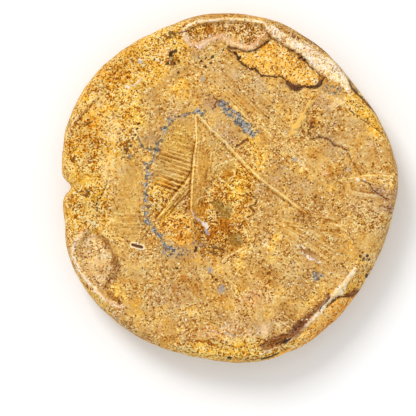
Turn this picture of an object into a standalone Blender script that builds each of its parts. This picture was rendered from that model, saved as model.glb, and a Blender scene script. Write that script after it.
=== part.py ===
# Sand dollar fossil: one worn disc of sandy stone, lying on its flat underside.
# The origin is the middle of the box around it, at the bottom. +Z is up. Lengths are in millimetres.

import bmesh
import bpy
import numpy as np
from mathutils import Vector, noise

MM = 0.001

# Driving dimensions.
THICKNESS = 14.0
WAIST_HEIGHT = 7.2           # height at which the rim stands out furthest
LOWER_SHOULDER = 4.6         # how far in from the rim the underside starts
PLATEAU_DROP = 0.5           # how much lower the top lies at the rim than in the middle
GRID_CUTS = 130              # fineness of the surface before it is faceted
FACETS = 9600                # triangles in the finished solid
BOX_MIDDLE = (-0.17, -0.41)  # middle of the outline's box, from where the outline is measured

# Outline seen from above: direction in degrees from +X, and how far the rim reaches there.
OUTLINE = [
    (2, 41.3), (20, 40.3), (38, 39.6), (56, 40.6), (78, 42.5), (100, 42.8), (112, 42.4),
    (130, 43.0), (160, 43.0), (172, 41.9), (190, 41.5), (202, 43.2), (228, 43.4), (258, 42.7),
    (286, 43.4), (306, 41.8), (330, 40.3), (350, 40.6),
]
NOTCH_DIRECTION = 180.0
NOTCH_SPREAD = 2.6           # degrees to either side
NOTCH_DEPTH = 2.2

# Upper shoulder: direction, and how far in from the rim the top starts to round over.
UPPER_SHOULDER = [
    (0, 2.0), (30, 2.4), (52, 3.4), (75, 2.4), (100, 2.0), (150, 2.6), (180, 3.0),
    (215, 2.8), (250, 2.2), (285, 2.6), (318, 4.4), (342, 3.0),
]

# Raised and sunken areas of the top: height (below zero is a hollow), width of the slope, outline.
AREAS = {
    "cream_shell": (0.5, 0.8, [
        (7.7, 40.6), (14.6, 37.2), (20.4, 34.2), (25.2, 31.4), (28.4, 27.8), (29.6, 22.0),
        (26.8, 24.8), (22.4, 27.2), (17.8, 31.6), (14.4, 33.8), (9.7, 36.8)]),
    "scallop_recess": (-0.9, 0.7, [
        (-10.0, 39.0), (-3.8, 40.1), (4.8, 40.0), (8.0, 38.3), (6.2, 35.3), (4.6, 34.6),
        (-0.2, 36.0), (-2.6, 37.0), (-5.2, 36.5), (-7.4, 35.2), (-9.7, 35.8), (-10.8, 37.6)]),
    "sand_pocket": (-1.0, 0.9, [
        (-0.6, 33.9), (3.2, 33.0), (5.4, 33.2), (9.6, 36.0), (15.6, 32.6), (20.0, 28.8),
        (22.3, 26.8), (20.8, 24.1), (15.8, 23.6), (13.0, 26.6), (6.4, 27.9), (2.8, 30.1)]),
    "mid_pit": (-0.7, 1.2, [
        (-3.8, 3.4), (0.2, 5.0), (4.6, 3.2), (6.4, -3.2), (4.8, -4.8), (5.8, -6.2),
        (4.2, -7.4), (3.4, -14.6), (-1.0, -17.2), (-6.4, -17.6), (-8.8, -12.0), (-8.6, -5.6)]),
    "left_basin": (-0.8, 1.6, [
        (-34.8, -11.4), (-37.0, -15.8), (-35.6, -20.2), (-30.6, -26.0), (-28.2, -22.0),
        (-27.2, -19.4), (-28.6, -15.4), (-31.4, -12.6)]),
    "plank": (0.5, 0.5, [
        (-9.8, 2.2), (-13.1, -1.4), (-18.0, -7.8), (-15.2, -6.6), (-11.6, -2.8), (-9.7, -0.6)]),
}

# Lines along the top: height (below zero is a groove), width, route.
LINES = {
    "long_ridge": (0.55, 1.3, [(-8.2, 17.6), (-2.1, 10.5), (5.5, 2.9), (14.6, -3.4), (18.5, -6.1)]),
    "upright_ridge": (0.5, 1.2, [(-8.5, 17.4), (-8.2, 11.0), (-8.7, 7.8), (-9.7, -0.7), (-9.9, -7.6)]),
    "gold_streak": (0.4, 2.0, [(18.7, 19.8), (16.8, 15.9), (15.3, 14.0), (15.8, 12.0)]),
    "left_lip": (0.6, 2.2, [(-32.7, 22.1), (-34.9, 20.1), (-37.4, 17.1), (-39.0, 14.0)]),
    "lower_left_lip": (0.8, 2.4, [
        (-35.4, -10.8), (-37.6, -13.2), (-38.6, -16.2), (-37.4, -19.6), (-35.2, -22.5), (-31.0, -27.2)]),
    "lower_right_ridge": (0.8, 2.0, [(30.3, -20.1), (24.9, -26.5), (19.7, -32.3), (17.8, -34.5)]),
    "scallop_lip": (0.4, 1.6, [
        (-11.4, 37.7), (-9.2, 34.8), (-7.2, 34.3), (-2.3, 36.8), (3.1, 34.1), (4.8, 34.1), (8.7, 37.5)]),
    "shell_ring": (0.4, 1.2, [(-9.9, 39.4), (-5.8, 40.4), (-1.3, 41.0), (3.6, 40.8), (7.7, 40.2)]),
    "pale_ridge": (0.4, 1.2, [(3.1, -9.8), (4.8, -13.7), (5.5, -14.9)]),
    "pocket_crack": (-0.8, 1.3, [
        (7.7, 39.2), (9.7, 36.5), (17.8, 31.1), (22.4, 27.2), (20.7, 24.0), (15.8, 23.5),
        (13.1, 26.5), (6.5, 27.9), (2.8, 30.1), (1.1, 32.6)]),
    "right_crack": (-0.7, 1.4, [
        (20.7, 12.0), (24.6, 12.0), (25.1, 10.3), (29.3, 7.1), (31.7, 2.9), (34.2, 0.5), (38.1, -3.2)]),
    "left_groove": (-0.6, 1.4, [(-38.8, 14.5), (-39.3, 11.5), (-38.9, 9.1)]),
    "left_crack": (-0.5, 1.3, [(-30.0, 0.5), (-31.5, -2.2), (-32.5, -3.2), (-32.5, -5.6)]),
    "slot": (-0.9, 1.4, [(-23.9, -14.2), (-21.4, -14.9)]),
    "plank_groove": (-0.6, 1.2, [(-10.4, 2.9), (-13.9, -1.4), (-18.8, -7.8)]),
    "foot_groove": (-0.5, 1.6, [(-12.4, -37.0), (-7.5, -38.0), (-5.0, -38.0)]),
}

# Star on the underside: five petals round a bare middle.
PETALS = 5
PETAL_START = 4.0
PETAL_END = 24.0
PETAL_HALF_WIDTH = 4.2
PETAL_GROOVE_WIDTH = 1.8
PETAL_GROOVE_DEPTH = 0.5
PETAL_STEPS = 10

# Unevenness of the worn stone: how far it moves the surface, and the length of its swells.
BROAD_SWELL = (0.3, 11.0)
RIM_LUMPS = (0.2, 4.0)
LUMPS = (0.45, 3.0)
LUMPY_LEFT_EDGE = -8.0       # the lumps grow from here towards -X
LUMPY_FADE = 14.0


def around(table, degrees):
    """A smooth closed curve through (direction, value) pairs, read at the given directions."""
    knots = np.array([pair[0] for pair in table], float)
    values = np.array([pair[1] for pair in table], float)
    knots = np.concatenate([knots[-2:] - 360.0, knots, knots[:3] + 360.0])
    values = np.concatenate([values[-2:], values, values[:3]])
    slopes = np.gradient(values, knots)
    turn = np.mod(degrees, 360.0)
    left = np.clip(np.searchsorted(knots, turn, side="right") - 1, 0, len(knots) - 2)
    gap = knots[left + 1] - knots[left]
    t = (turn - knots[left]) / gap
    return ((1 + 2 * t) * (1 - t) ** 2 * values[left] + t * (1 - t) ** 2 * gap * slopes[left]
            + t * t * (3 - 2 * t) * values[left + 1] + t * t * (t - 1) * gap * slopes[left + 1])


def rim_reach(degrees, notch_share):
    """How far the rim stands from the middle, with the given share of the notch cut into it."""
    off = (degrees - NOTCH_DIRECTION + 180.0) % 360.0 - 180.0
    return around(OUTLINE, degrees) - notch_share * NOTCH_DEPTH * np.exp(-(off / NOTCH_SPREAD) ** 2)


def distance_to_line(route, x, y):
    """Distance from each point to the nearest place on an open route."""
    nearest = np.full(x.shape, np.inf)
    for (ax, ay), (bx, by) in zip(route, route[1:]):
        dx, dy = bx - ax, by - ay
        along = np.clip(((x - ax) * dx + (y - ay) * dy) / (dx * dx + dy * dy), 0.0, 1.0)
        nearest = np.minimum(nearest, np.hypot(x - ax - along * dx, y - ay - along * dy))
    return nearest


def depth_inside(outline, x, y):
    """Distance to a closed outline, above zero inside it and below zero outside."""
    inside = np.zeros(x.shape, bool)
    for (ax, ay), (bx, by) in zip(outline, outline[1:] + outline[:1]):
        if ay != by:
            crosses = (ay > y) != (by > y)
            inside ^= crosses & (x < ax + (y - ay) * (bx - ax) / (by - ay))
    away = distance_to_line(outline + outline[:1], x, y)
    return np.where(inside, away, -away)


def ease(t):
    t = np.clip(t, 0.0, 1.0)
    return t * t * (3.0 - 2.0 * t)


def swell(amount, length, x, y, z, layer=0.0):
    """Seeded noise, the same each time, with hills and dips of the given length."""
    where = zip(x / length, y / length, z / length + layer)
    return amount * np.array([noise.noise(Vector(point)) for point in where])


def top_relief(x, y):
    """Height of the ledges, hollows, ridges, cracks and lumps above the plain top."""
    height = np.zeros(x.shape)
    for amount, slope, outline in AREAS.values():
        height += amount * ease(depth_inside(outline, x, y) / slope + 0.5)
    for amount, width, route in LINES.values():
        height += amount * ease(1.0 - distance_to_line(route, x, y) / width)
    lumpy = ease((LUMPY_LEFT_EDGE - x) / LUMPY_FADE)
    return height + lumpy * swell(*LUMPS, x, y, np.zeros(x.shape), layer=40.0)


def petal_outline(turn):
    """One petal of the star as a closed route, pointing in the given direction."""
    share = np.linspace(0.0, 1.0, PETAL_STEPS)
    along = PETAL_START + (PETAL_END - PETAL_START) * share
    half = PETAL_HALF_WIDTH * np.sin(np.pi * share ** 1.3) ** 0.8
    along = np.concatenate([along, along[::-1]])
    half = np.concatenate([half, -half[::-1]])
    return list(zip(along * np.cos(turn) - half * np.sin(turn), along * np.sin(turn) + half * np.cos(turn)))


def star_relief(x, y):
    """Depth of the petals' grooves in the underside."""
    nearest = np.full(x.shape, np.inf)
    for petal in range(PETALS):
        turn = np.radians(90.0 + 360.0 * petal / PETALS)
        nearest = np.minimum(nearest, distance_to_line(petal_outline(turn), x, y))
    return PETAL_GROOVE_DEPTH * ease(1.0 - nearest / PETAL_GROOVE_WIDTH)


def shape_disc(cube):
    """Turn the points of a cube from -1 to 1 into the points of the fossil, in millimetres."""
    u, v, w = cube.T
    ring = np.maximum(np.abs(u), np.abs(v))
    eighth = np.pi / 4
    wide = np.abs(u) >= np.abs(v)
    safe_u = np.where(wide & (ring > 0), u, 1.0)
    safe_v = np.where(~wide, v, 1.0)
    turn = np.where(wide, eighth * v / safe_u + np.where(u < 0, np.pi, 0.0),
                    np.pi / 2 - eighth * u / safe_v + np.where(v < 0, np.pi, 0.0))
    degrees = np.degrees(turn)

    # The section runs from the middle of the top, over the rim, to the middle of the underside.
    on_floor = w < -1 + 1e-6
    over = np.clip(1 - w, 0, 1) * np.pi / 2
    under = np.clip(-w, 0, 1) * np.pi / 2
    reach = rim_reach(degrees, np.cos(under))
    upper = around(UPPER_SHOULDER, degrees)
    radius = reach - upper * (1 - np.sin(over)) - LOWER_SHOULDER * (1 - np.cos(under))
    radius *= ring
    crown = THICKNESS - PLATEAU_DROP * (radius / reach) ** 2
    height = np.where(w > 0, WAIST_HEIGHT + (crown - WAIST_HEIGHT) * np.cos(over),
                      WAIST_HEIGHT * (1 - np.sin(under)))
    x = radius * np.cos(turn)
    y = radius * np.sin(turn)

    # Relief stands up from the top, unevenness stands out from the rim, the floor stays flat.
    facing_up = np.where(w > 0, np.cos(over), 0.0)
    facing_out = np.where(on_floor | (ring < 1), 0.0, np.cos(under) * np.sin(over))
    swells = swell(*BROAD_SWELL, x, y, height)
    rim_swells = swells + swell(*RIM_LUMPS, x, y, height)
    x += facing_out * rim_swells * np.cos(turn)
    y += facing_out * rim_swells * np.sin(turn)
    height += facing_up * (top_relief(x, y) + swells)
    height += np.where(on_floor, star_relief(x, y), 0.0)
    return np.column_stack([x - BOX_MIDDLE[0], y - BOX_MIDDLE[1], height])


def stone():
    """Matt ochre stone."""
    material = bpy.data.materials.new("fossil_stone")
    material.use_nodes = True
    shader = material.node_tree.nodes["Principled BSDF"]
    shader.inputs["Base Color"].default_value = (0.645, 0.376, 0.105, 1.0)
    shader.inputs["Roughness"].default_value = 0.85
    shader.inputs["Metallic"].default_value = 0.0
    material.diffuse_color = (0.645, 0.376, 0.105, 1.0)
    return material


def make_fossil(parts):
    """A finely cut cube bent into the disc, then brought down to facets."""
    mesh = bpy.data.meshes.new("sand_dollar_fossil")
    solid = bmesh.new()
    bmesh.ops.create_cube(solid, size=2.0)
    bmesh.ops.subdivide_edges(solid, edges=solid.edges[:], cuts=GRID_CUTS, use_grid_fill=True)
    solid.to_mesh(mesh)
    solid.free()

    points = np.empty(len(mesh.vertices) * 3)
    mesh.vertices.foreach_get("co", points)
    shaped = shape_disc(points.reshape(-1, 3)) * MM
    mesh.vertices.foreach_set("co", shaped.ravel())
    mesh.update()
    mesh.shade_smooth()
    mesh.materials.append(stone())

    fossil = bpy.data.objects.new("sand_dollar_fossil", mesh)
    parts.objects.link(fossil)
    facets = fossil.modifiers.new("facets", "DECIMATE")
    facets.ratio = FACETS / (2 * len(mesh.polygons))
    facets.use_collapse_triangulate = True
    return fossil


def main():
    for old in list(bpy.data.objects):
        bpy.data.objects.remove(old, do_unlink=True)
    parts = bpy.data.collections.new("sand_dollar_fossil")
    bpy.context.scene.collection.children.link(parts)
    make_fossil(parts)


main()
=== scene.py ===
import math

import bmesh
import bpy
import numpy as np
from mathutils import Matrix, Vector, noise


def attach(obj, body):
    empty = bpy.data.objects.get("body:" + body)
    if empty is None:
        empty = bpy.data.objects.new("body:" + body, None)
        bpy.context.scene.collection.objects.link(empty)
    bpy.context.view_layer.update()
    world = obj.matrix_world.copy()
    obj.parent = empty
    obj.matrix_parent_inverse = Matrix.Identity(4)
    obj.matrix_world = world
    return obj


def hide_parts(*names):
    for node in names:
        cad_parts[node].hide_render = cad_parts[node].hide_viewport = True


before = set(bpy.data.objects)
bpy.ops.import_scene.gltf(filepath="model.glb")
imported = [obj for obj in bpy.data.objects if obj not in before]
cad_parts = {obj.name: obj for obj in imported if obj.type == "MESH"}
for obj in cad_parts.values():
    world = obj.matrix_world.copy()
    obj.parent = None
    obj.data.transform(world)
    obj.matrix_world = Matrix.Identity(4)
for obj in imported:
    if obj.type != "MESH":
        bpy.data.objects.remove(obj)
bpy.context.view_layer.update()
print("frame loaded")

mm = 0.001
farOutside = -5.0         # depth inside a finish where there is none of it


class Wire:
    # a node's output that can be used in sums
    def __init__(self, maker, socket):
        self.maker = maker
        self.socket = socket

    def sum(self, operation, first, second):
        return self.maker.node("ShaderNodeMath", {"operation": operation}, {0: first, 1: second})

    def __add__(self, other):
        return self.sum("ADD", self, other)

    def __radd__(self, other):
        return self.sum("ADD", other, self)

    def __sub__(self, other):
        return self.sum("SUBTRACT", self, other)

    def __rsub__(self, other):
        return self.sum("SUBTRACT", other, self)

    def __mul__(self, other):
        return self.sum("MULTIPLY", self, other)

    def __rmul__(self, other):
        return self.sum("MULTIPLY", other, self)

    def __rtruediv__(self, other):
        return self.sum("DIVIDE", other, self)

    def __abs__(self):
        return self.sum("ABSOLUTE", self, 0.0)

    def most(self, other):
        return self.sum("MAXIMUM", self, other)


class NodeMaker:
    # makes nodes in one tree, with places in mm
    def __init__(self, tree, placeNode, out=0):
        self.tree = tree
        self.place = self.scaled(self.node(placeNode, out=out), 1 / mm)

    def node(self, kind, settings=None, values=None, out=0):
        made = self.tree.nodes.new(kind)
        for name, setting in (settings or {}).items():
            if name == "stops":
                self.fillRamp(made.color_ramp, setting)
            else:
                setattr(made, name, setting)
        for place, value in (values or {}).items():
            if isinstance(value, Wire):
                self.tree.links.new(value.socket, made.inputs[place])
            else:
                made.inputs[place].default_value = value
        return Wire(self, made.outputs[out] if made.outputs else None)

    def fillRamp(self, ramp, stops):
        while len(ramp.elements) < len(stops):
            ramp.elements.new(1.0)
        for element, (position, colour) in zip(ramp.elements, stops):
            element.position = position
            element.color = colour

    def scaled(self, vector, factor):
        return self.node("ShaderNodeVectorMath", {"operation": "SCALE"}, {0: vector, 3: factor})

    def share(self, value, low, high, top=1.0):
        # how far a value is on its way from low to high, eased at both ends
        return self.node("ShaderNodeMapRange", {"interpolation_type": "SMOOTHSTEP"},
                         {0: value, 1: low, 2: high, 3: 0.0, 4: top})

    def noise(self, size, layer, detail=3.0, roughness=0.6, where=None):
        return self.node("ShaderNodeTexNoise", {"noise_dimensions": "4D"}, {
            "Vector": where or self.place, "W": layer, "Scale": 1.0 / size, "Detail": detail,
            "Roughness": roughness})


def between(mask, low, high):
    return low + (high - low) * mask


def paintOf(seen):
    # a colour as seen on screen, made a paint value that the light brings back to it
    linear = [((part / 255 + 0.055) / 1.055) ** 2.4 for part in seen]
    return (*(part / gain for part, gain in zip(linear, light["gain"])), 1.0)


light = {
    "gain": (1.03, 1.07, 1.2),     # how bright paint comes out in red, green and blue
    "sky": 0.83,
    "keyPower": 6.1,
    "keySize": 0.4,
    "keyPlace": (-0.42, 0.62, 0.85),
    "floorTone": (0.93, 0.93, 0.93, 1.0),
    "floorRoughness": 0.9,
    "floorSize": 2.4,
}

# The disc in mm, the same as the frame's.
disc = {
    "thickness": 14.0,
    "waistHeight": 7.2,
    "lowerShoulder": 4.6,
    "plateauDrop": 0.5,
    "boxMiddle": (-0.17, -0.41),
    "notch": (180.0, 2.6, 2.2),       # direction, spread in degrees, depth
    "outline": [
        (2, 41.3), (20, 40.3), (38, 39.6), (56, 40.6), (78, 42.5), (100, 42.8), (112, 42.4),
        (130, 43.0), (160, 43.0), (172, 41.9), (190, 41.5), (202, 43.2), (228, 43.4), (258, 42.7),
        (286, 43.4), (306, 41.8), (330, 40.3), (350, 40.6)],
    "upperShoulder": [
        (0, 2.0), (30, 2.4), (52, 3.4), (75, 2.4), (100, 2.0), (150, 2.6), (180, 3.0),
        (215, 2.8), (250, 2.2), (285, 2.6), (318, 4.4), (342, 3.0)],
    "flatShare": 0.945,       # how much of the top's tile lies flat, and how far the rest rolls over
    "topSweep": 0.45,
    "floorShare": 0.985,
    "topCells": 200,          # squares along the top's side, before the marks are cut finer
    "wallRows": 22,
    "underCells": 110,
    "fineReach": 0.35,        # squares this near to a mark are cut finer
    "broadSwell": (0.3, 11.0),        # height and length of what swells all over
    "rimLumps": (0.2, 4.0),
    "lumps": (0.45, 3.0),
    "lumpyLeftEdge": -8.0,
    "lumpyFade": 14.0,
    "wanderLength": 0.9,      # length of the waves by which lines and edges wander
    "spotWander": 0.3,
}

# Star on the underside, the same as the frame's.
star = {
    "petals": 5,
    "reach": (4.0, 24.0),
    "halfWidth": 4.2,
    "steps": 10,
    "groove": (1.8, 0.5),             # half its width, and its depth
    "line": 0.35,                     # half the width of the darker line in it
}

# Lines on the top, in mm: the finish that each paints, half its painted width, its height, the
# distance over which that height fades, how far the line wanders, and its route.
# Groove and layer marks get no tone of their own: the shade is darkened along them, as painted shade in the
# groove and as painted shadow beside a ridge.
lineMarks = {
    "shellCrack": ("crack", 0.12, -0.6, 0.7, 0.35, [(7.7, 39.2), (9.7, 36.5), (11.4, 35.5), (12.9, 34.5),
        (15.6, 32.8), (17.8, 31.1), (20, 28.9), (21.4, 27.7), (22.7, 26.5)]),
    "pocketCrack": ("crack", 0.24, -0.6, 0.7, 0.4, [(22.7, 26.5), (22.2, 25.7), (21.9, 24.7), (20.7, 24),
        (18.3, 24.5), (17, 24), (15.8, 23.5), (14.6, 24.3), (13.1, 26.5)]),
    "pocketSide": ("crack", 0.28, -0.5, 0.6, 0.5, [(13.1, 26.5), (12.1, 26.9), (10.2, 26.9), (7.2, 27.4),
        (6, 28.8), (5, 28.9), (4, 29.4), (2.8, 30.1), (1.1, 32.6)]),
    "pocketCore": ("slit", 0.09, 0, 0.3, 0.6, [(1.1, 32.6), (2.8, 30.3), (4, 29.4), (6, 28.7), (7.2, 27.5),
        (10.2, 26.9), (12.1, 26.9), (13.2, 26.2)]),
    "pocketHook": ("slit", 0.09, 0, 0.3, 0.6, [(13.4, 24.6), (15.8, 23.2), (18.6, 24.2), (21.8, 24.6),
        (22.8, 26.6)]),
    "pocketFoot": ("crack", 0.45, 0, 0.6, 0.6, [(13.7, 25.6), (14.9, 24.5), (15.9, 24.1), (17.6, 24.5)]),
    "pocketMiddle": ("crack", 0.38, 0, 0.4, 0.5, [(12.4, 26.8), (10.2, 26.9), (7.2, 27.4)]),
    "pocketTip": ("crack", 0.15, -0.3, 0.5, 0.5, [(1.1, 32.6), (-0.6, 33.4)]),
    "shellBrow": ("bark", 0.2, -0.1, 0.3, 0.5, [(16.4, 37.6), (18.3, 36.6), (20.2, 35.6), (22.2, 34),
        (24.4, 32.3), (26.6, 30.4)]),
    "smudge": ("bark", 0.2, -0.1, 0.3, 0.6, [(-6.6, 22.4), (-4.2, 22.2), (-3.3, 20.6), (-4.4, 18.8)]),
    "topSpeckle": ("slit", 0.17, -0.1, 0.3, 0.7, [(-4.4, 31.4), (-3.2, 32.4), (-1.6, 33.6)]),
    "lowCrumbs": ("ash", 0.1, -0.1, 0.3, 0.7, [(-5, -35.2), (-3, -35.8), (-1, -35.6), (1.2, -36.8)]),
    "facetEdge": ("lip", 0.2, 0.2, 0.6, 0.3, [(21.3, -30.9), (19.4, -32.9), (17.4, -34.8), (15, -37.2),
        (12.1, -38.9), (7.2, -40.8)]),
    "pocketCorner": ("crack", 0.4, 0, 0.6, 0.3, [(19.6, 24.6), (21.2, 24.5), (22, 26)]),
    "scallopCrack": ("crack", 0.2, -0.35, 0.5, 0.25, [(9.7, 36), (7.7, 34.5), (6.5, 33.8), (5.3, 33.2),
        (4, 33), (3.1, 33.1), (1.8, 33.6), (-0.6, 34.1)]),
    "rightCrack": ("bark", 0.19, -0.4, 0.6, 0.3, [(21.6, 12.2), (24.4, 11.5), (25.1, 10.1), (27.2, 9.8),
        (28.9, 8), (29.6, 6.1), (30.8, 4.9), (31.7, 3.1)]),
    "rightCrackStart": ("bark", 0.1, -0.2, 0.5, 0.3, [(18.8, 14), (19.6, 11.6), (21.6, 12.2)]),
    "rightCrackEnd": ("bark", 0.17, -0.3, 0.5, 0.3, [(31.7, 1.7), (33.8, 0.8), (34.7, -0.6), (36.3, -1.8),
        (38.4, -3.2)]),
    "rightCrackLow": ("bark", 0.12, -0.2, 0.4, 0.3, [(36.3, -4.8), (38, -5.1), (40.1, -5.3)]),
    "rimCrack": ("crack", 0.13, -0.15, 0.3, 0.25, [(29.3, 18.5), (31.4, 16.9), (33.8, 15.4), (37, 13.1)]),
    "rimEdgeCrack": ("crack", 0.3, -0.3, 0.6, 0.25, [(28.9, 26.2), (29.6, 24.1), (31.4, 22.4), (32.8, 21),
        (34.5, 19.2)]),
    "rimEdgeEnd": ("crack", 0.14, -0.2, 0.5, 0.2, [(34.5, 19.2), (36.3, 17.1)]),
    "leftGroove": ("groove", 0.25, -0.4, 1.1, 0.4, [(-33.9, 20.1), (-36.4, 17.1), (-38.8, 14.5),
        (-39.3, 11.5), (-39.3, 9.1), (-38.8, 6.1)]),
    "leftLip": ("crest", 0.26, 0.6, 1.3, 0.2, [(-32.7, 22.1), (-34.9, 20.1), (-36.1, 18.6), (-37.4, 17.1),
        (-38.6, 15.4), (-39.3, 14)]),
    "leftSlit": ("slit", 0.16, -0.3, 0.4, 0.15, [(-35.9, 14.7), (-34.2, 15.9)]),
    "leftCrack": ("slit", 0.14, -0.5, 0.7, 0.5, [(-30, 0.5), (-30.7, -0.5), (-31.5, -2.2), (-32.5, -3.2),
        (-32.7, -4.4), (-32.5, -5.6)]),
    "scallopLip": ("pink", 0.75, 0.4, 1.1, 0.2, [(-11.4, 37.7), (-10.9, 36), (-9.2, 34.8), (-7.2, 34.3),
        (-6, 35.5), (-3.8, 36.4), (-2.3, 36.8), (-0.6, 36), (1.3, 34.8), (3.1, 34.1), (4.8, 34.1),
        (6.5, 35), (7.5, 36.5), (8.7, 37.5)]),
    "shellRing": ("lip", 0.35, 0.4, 0.9, 0.15, [(-10.9, 39), (-8.2, 40.2), (-3.8, 40.7), (-1.3, 41),
        (3.6, 40.8), (7.7, 40.2)]),
    "ringShade": ("crack", 0.12, -0.2, 0.4, 0.2, [(-14.1, 36.5), (-12.4, 37.5), (-10.4, 38.2)]),
    "longRidge": ("crest", 0.21, 0.5, 0.65, 0.15, [(-8, 17.6), (-5, 14.4), (-1.4, 11), (2.2, 7.1),
        (5.5, 3.6), (8.5, 0.9), (12.1, -1.6), (15.5, -4.3), (18.5, -6.4)]),
    "longRidgeBody": ("crest", 0.36, 0.1, 0.5, 0.25, [(-3, 12.4), (-1.4, 10.9), (2.2, 7), (4.6, 4.4)]),
    "longRidgeTail": ("crest", 0.28, 0.1, 0.5, 0.2, [(5.5, 3.6), (8.5, 0.9), (12.1, -1.6), (15.5, -4.3),
        (18.5, -6.4)]),
    # longRidgeFoot, uprightFoot and the plank grooves: painted shadow along the foot of the ridge beside
    # each.
    "longRidgeFoot": ("groove", 0.13, -0.15, 0.4, 0.05, [(-8.4, 17), (-5.6, 14), (-2, 10.6), (1.6, 6.6),
        (4.9, 3.1), (8.1, 0.3), (9.6, -0.9), (12, -2.5), (15.2, -4.9), (18.2, -7.1)]),
    "uprightRidge": ("crest", 0.2, 0.4, 0.6, 0.05, [(-8.5, 17.4), (-8.3, 11.2), (-8.8, 7.3), (-9.3, 1.7),
        (-9.6, -5.3), (-8.9, -7.7)]),
    "uprightFoot": ("groove", 0.17, -0.3, 0.5, 0.05, [(-8.7, 11), (-9.3, 7.3), (-9.8, 1.7), (-10.1, -3),
        (-10.1, -5.6)]),
    "plankEdge": ("crest", 0.22, 0.35, 0.5, 0.05, [(-9.8, 2.2), (-13.2, -1.8), (-17.6, -7.6)]),
    "plankGroove": ("groove", 0.2, -0.4, 0.5, 0.05, [(-9.9, 3.2), (-13.5, -1.3), (-18.3, -7.6)]),
    "plankMiddle": ("groove", 0.1, -0.1, 0.3, 0.05, [(-9.8, 0.4), (-13, -3), (-15.6, -6.4)]),
    "plankFoot": ("groove", 0.14, -0.2, 0.4, 0.05, [(-9.8, -1), (-12.6, -3.8), (-14.2, -5.6)]),
    "thinLine": ("slit", 0.1, -0.15, 0.3, 0.05, [(-19.5, -9.9), (-21.4, -12.5), (-22.4, -13.9)]),
    "slotHalo": ("lip", 0.78, 0.15, 0.9, 0.05, [(-23.8, -14.1), (-21.7, -14.7)]),
    "slot": ("rustHole", 0.4, -0.5, 0.5, 0.1, [(-23.9, -14.1), (-21.7, -14.7)]),
    "lipShine": ("lip", 0.28, 0.1, 0.4, 0.5, [(-38.3, -14.6), (-38.7, -16.2), (-38.2, -17.8),
        (-36.5, -21.2), (-34, -24.1), (-31.1, -27.3)]),
    "lowerLeftLip": ("pink", 0.5, 0.7, 1.5, 0.3, [(-35.4, -10.8), (-36.4, -11.8), (-38.1, -14),
        (-38.6, -16.2), (-38.1, -17.6), (-36.4, -21.1), (-33.9, -24), (-31, -27.2), (-28.6, -28.6),
        (-26.3, -29.4)]),
    # darker brown streaks down the basin's right side
    "basinDarkSide": ("earth", 0.5, -0.3, 1.6, 0.8, [(-30.4, -13.6), (-29, -15.4), (-28.4, -17.8),
        (-27.4, -19.8), (-28.7, -22.1), (-30.2, -24.3)]),
    "basinTop": ("earth", 0.25, -0.3, 1.2, 0.4, [(-32.6, -10.9), (-31.7, -12.6), (-30.2, -13.8)]),
    "basinEnd": ("earth", 0.35, -0.2, 0.8, 0.3, [(-30.4, -25.2), (-29.3, -26.5), (-27.1, -28.2)]),
    "lowerRightRidge": ("lip", 0.55, 0.8, 1.3, 0.15, [(30.3, -20.1), (27.6, -23.8), (26.1, -25),
        (24.9, -26.5), (22.4, -29.4), (21.2, -31.1), (18.5, -33.6)]),
    "ridgeStain": ("stain", 0.55, -0.2, 0.8, 0.3, [(24, -26.6), (22.3, -28.6), (20.4, -30.4), (18.6, -32),
        (17.2, -33.6)]),
    "ridgeSlit": ("slit", 0.16, -0.2, 0.5, 0.15, [(24.3, -26.8), (22.4, -29), (21.6, -30.2)]),
    "footStain": ("stain", 1.3, -0.3, 1.2, 0.4, [(17.2, -33.4), (16.3, -34.8), (14.2, -36.5), (11.8, -37.5),
        (8.4, -38.9)]),
    "footSlit": ("slit", 0.22, -0.2, 0.5, 0.15, [(14.6, -37), (13, -37.7), (11.2, -38.2)]),
    "facetCrack": ("bark", 0.24, -0.3, 0.5, 0.3, [(23.6, -29.2), (25.1, -27.7), (26.3, -26.9),
        (29.3, -26.7), (31.5, -25.7)]),
    "ridgeVein": ("vein", 0.12, 0.08, 0.3, 0.3, [(-3.8, 5), (-2.4, 5.6), (-0.5, 6.2), (1.5, 7)]),
    "pitVein": ("vein", 0.12, 0.08, 0.3, 0.3, [(-3, 2.3), (-2, 1.3), (-0.7, 1.2), (-0.1, 2.3), (1.1, 2.7),
        (1, 3.8), (0.4, 4.2)]),
    "plateVein": ("vein", 0.1, 0.08, 0.3, 0.3, [(-8.1, 10.5), (-7.7, 10.9), (-6.7, 11.3), (-6.2, 11.9)]),
    "hookVein": ("vein", 0.08, 0.08, 0.3, 0.3, [(-3.6, 11.3), (-3.4, 10.3), (-3.6, 8.9), (-4.4, 8.2)]),
    "sideVein": ("vein", 0.08, 0.08, 0.3, 0.5, [(-4.6, 8.3), (-5, 6.6), (-3.6, 4.6), (-3, 2.5),
        (-2.6, 1.3)]),
    "smallVein": ("vein", 0.12, 0.08, 0.3, 0.3, [(-5.4, 0.3), (-6.5, -0.5), (-5, -1.5), (-5.4, -2.2),
        (-7.1, -2.4), (-7.9, -3.2), (-8.1, -4)]),
    "upperVein": ("pink", 0.16, 0.08, 0.3, 0.5, [(-2.6, 15), (-1.8, 13.6), (-1.2, 12.4)]),
    "lilacVein": ("lilac", 0.2, 0.15, 0.4, 0.2, [(-9.4, -5.9), (-8.5, -7.6), (-7.5, -8.3), (-6.5, -9.1)]),
    "whiteVein": ("chalk", 0.15, 0.15, 0.3, 0.1, [(-25.4, 24.7), (-24.4, 24.5), (-23.2, 25), (-22.2, 26.1),
        (-21.2, 26.8)]),
    "whiteStreak": ("chalk", 0.22, 0.1, 0.4, 0.6, [(17, -14.2), (17.9, -14.9)]),
    "whiteStreakLow": ("chalk", 0.2, 0.1, 0.4, 0.7, [(17.5, -16.1), (18.6, -16.9), (20, -17.7),
        (21.8, -18.5)]),
    "zigzagCrest": ("crest", 0.2, 0.3, 0.4, 0.1, [(3.2, -0.9), (4.9, -2.1), (5.9, -3.2), (5.6, -4),
        (4.2, -4.5), (4.2, -5), (5.2, -5.9), (4.9, -6.6), (3.7, -7.2), (2.6, -8.4)]),
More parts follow.
